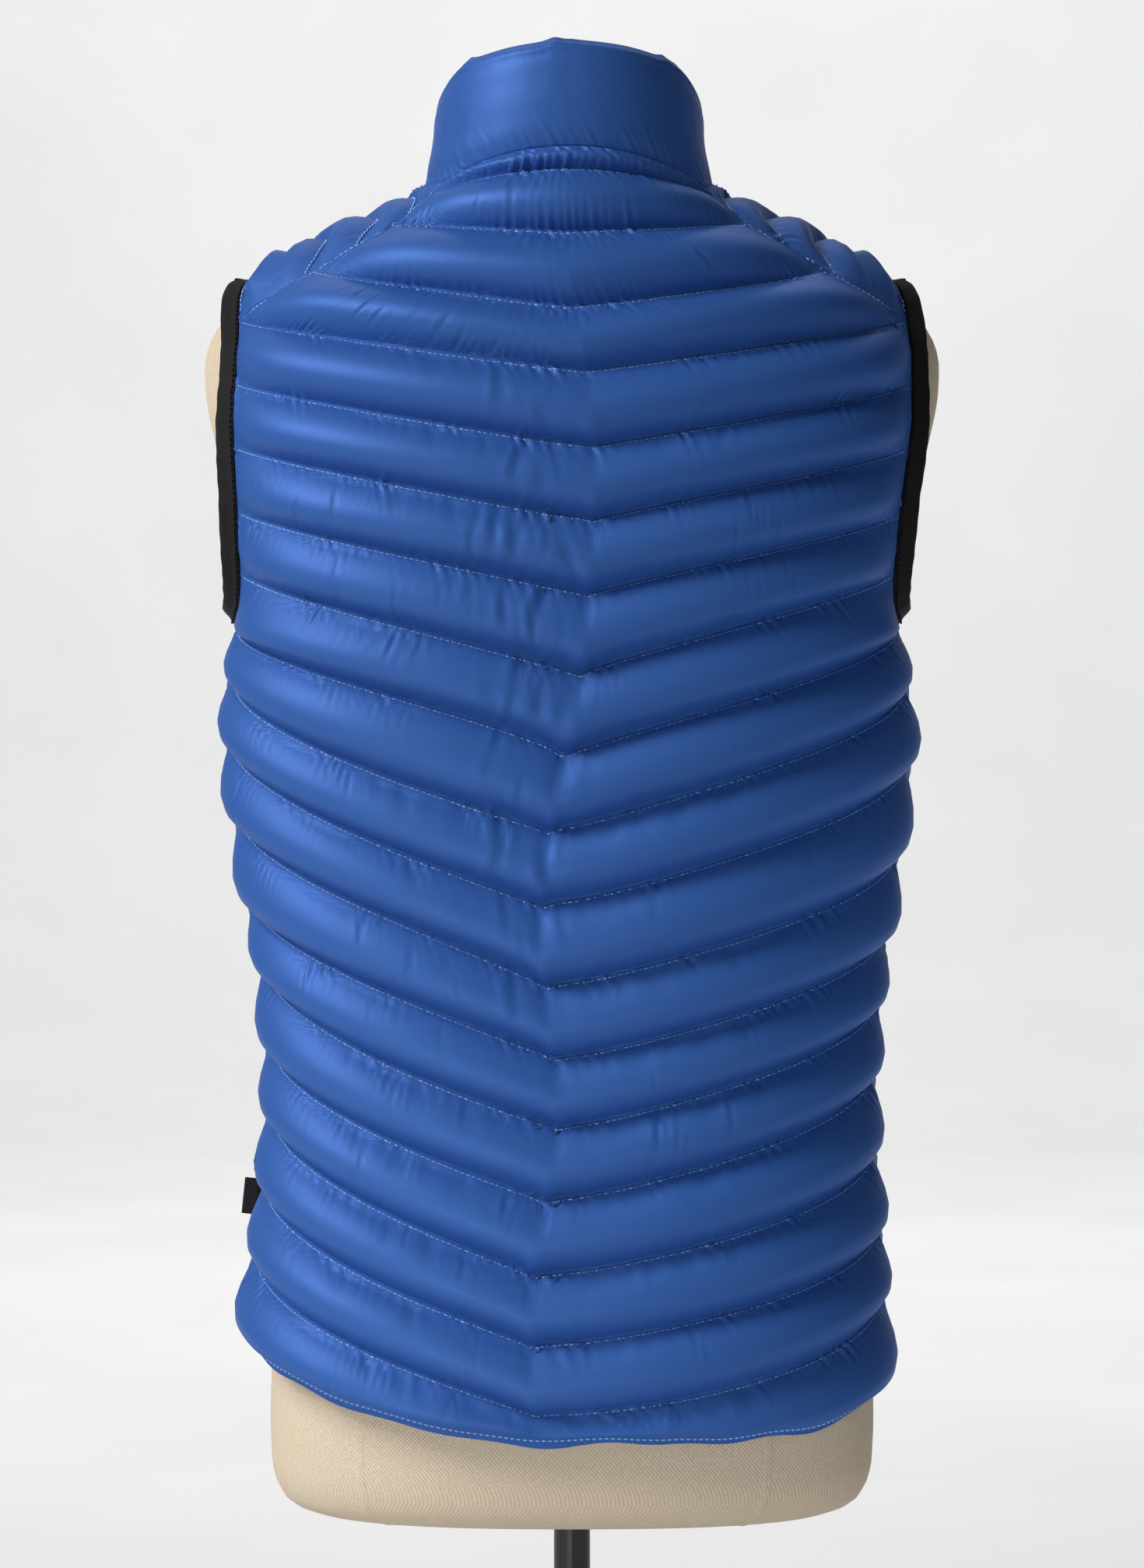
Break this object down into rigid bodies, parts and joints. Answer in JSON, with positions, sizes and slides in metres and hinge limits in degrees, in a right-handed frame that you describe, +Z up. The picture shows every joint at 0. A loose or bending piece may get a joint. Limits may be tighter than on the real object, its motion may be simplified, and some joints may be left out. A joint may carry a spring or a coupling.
{
  "type": "quilted puffer vest on dress form",
  "caption": "Sleeveless quilted puffer vest with a stand collar and front zip, worn by a limbless dress form on a round-plate pole stand.",
  "frame": {"origin": "centre of the stand plate's underside, on the floor", "axes": "+Z up; the garment's back faces +Y and its zip -Y; the wearer's left is +X"},
  "size_m": [0.405, 0.31, 1.0568],
  "materials": {
    "blue_shell": "satin",
    "black_tape": "matt",
    "dark_metal": "satin",
    "linen": "matt",
    "stand_black": "satin"
  },
  "bodies": {
    "vest_on_form": {"back_panel": "blue_shell", "front_left": "blue_shell", "front_right": "blue_shell", "collar": "blue_shell", "armhole_tape_left": "black_tape", "armhole_tape_right": "black_tape", "front_zip": "black_tape", "zip_slider": "dark_metal", "side_label": "black_tape", "dress_form": "linen", "stand_plate": "stand_black", "stand_pole": "stand_black"},
    "zip_pull": {"zip_pull": "dark_metal"}
  },
  "joints": [
    {"name": "pull_swing", "type": "hinge", "parent": "vest_on_form", "child": "zip_pull", "pos_m": [0, -0.0787, 1.004], "axis": [-1, 0, 0], "range_deg": [0, 150]}
  ]
}
